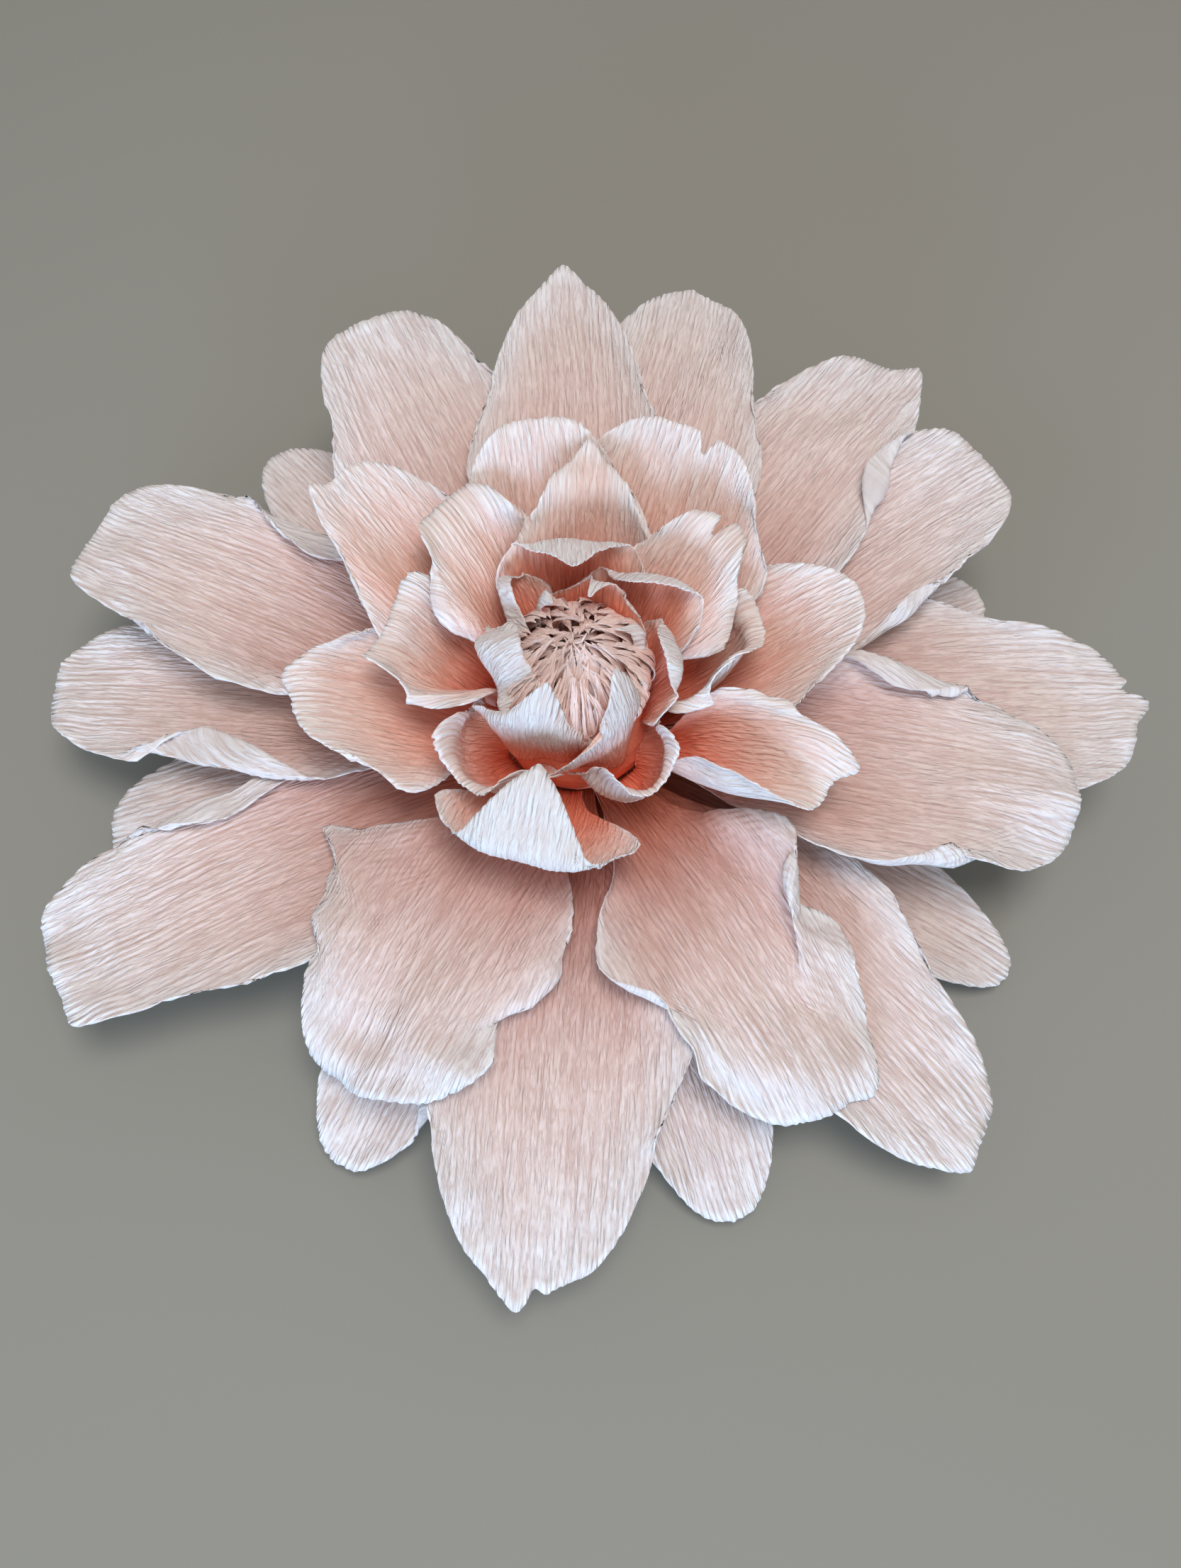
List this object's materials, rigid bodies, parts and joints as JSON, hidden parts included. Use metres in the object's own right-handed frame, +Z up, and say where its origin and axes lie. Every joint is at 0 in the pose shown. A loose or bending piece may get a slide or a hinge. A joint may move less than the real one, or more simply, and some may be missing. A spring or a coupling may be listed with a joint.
{
  "type": "paper flower",
  "caption": "Large crepe paper flower with spreading petals, a cupped bud and a fringed centre on a flat backing.",
  "frame": {"origin": "middle of the backing disc's flat underside, on the flower's axis", "axes": "+Z up the flower's axis out of its face; -Y towards the side with the petal that has its tip folded in"},
  "size_m": [0.3389, 0.3178, 0.0827],
  "materials": {
    "blush_crepe": "matt crepe, lengthwise ridges",
    "peach_crepe": "matt crepe, lengthwise ridges",
    "salmon_crepe": "matt crepe, lengthwise ridges",
    "fringe_crepe": "matt crepe, cut to a fringe",
    "wrapped_core": "matt crepe wrapped on a light ball",
    "card": "uncoated card"
  },
  "bodies": {
    "root": {"backing_disc": "card", "core": "wrapped_core", "outer_petal_01": "blush_crepe", "outer_petal_02": "blush_crepe", "outer_petal_03": "blush_crepe", "outer_petal_04": "blush_crepe", "outer_petal_05": "blush_crepe", "outer_petal_06": "blush_crepe", "outer_petal_07": "blush_crepe", "outer_petal_08": "blush_crepe", "outer_petal_09": "blush_crepe", "outer_petal_10": "blush_crepe", "outer_petal_11": "blush_crepe", "outer_petal_12": "blush_crepe", "outer_petal_13": "blush_crepe", "outer_petal_14": "blush_crepe", "outer_petal_15": "blush_crepe", "outer_petal_16": "blush_crepe", "outer_petal_17": "blush_crepe", "outer_petal_18": "blush_crepe", "outer_petal_19": "blush_crepe", "outer_petal_20": "blush_crepe", "spoon_petal_01": "peach_crepe", "spoon_petal_02": "peach_crepe", "spoon_petal_03": "peach_crepe", "spoon_petal_04": "peach_crepe", "spoon_petal_05": "peach_crepe", "spoon_petal_06": "peach_crepe", "spoon_petal_07": "peach_crepe", "spoon_petal_08": "peach_crepe", "spoon_petal_09": "peach_crepe", "spoon_petal_10": "peach_crepe", "spoon_petal_11": "peach_crepe", "spoon_petal_12": "peach_crepe", "spoon_petal_13": "peach_crepe", "spoon_petal_14": "peach_crepe", "bud_petal_01": "salmon_crepe", "bud_petal_02": "salmon_crepe", "bud_petal_03": "salmon_crepe", "bud_petal_04": "salmon_crepe", "bud_petal_05": "salmon_crepe", "bud_petal_06": "salmon_crepe", "bud_petal_07": "salmon_crepe", "bud_petal_08": "salmon_crepe", "bud_petal_09": "salmon_crepe", "bud_petal_10": "salmon_crepe", "bud_petal_11": "salmon_crepe", "bud_petal_12": "salmon_crepe", "bud_petal_13": "salmon_crepe", "bud_petal_14": "salmon_crepe", "fringe_crown_1": "fringe_crepe", "fringe_crown_2": "fringe_crepe", "fringe_crown_3": "fringe_crepe", "fringe_crown_4": "fringe_crepe", "fringe_crown_5": "fringe_crepe", "centre_tuft": "fringe_crepe"}
  },
  "joints": []
}
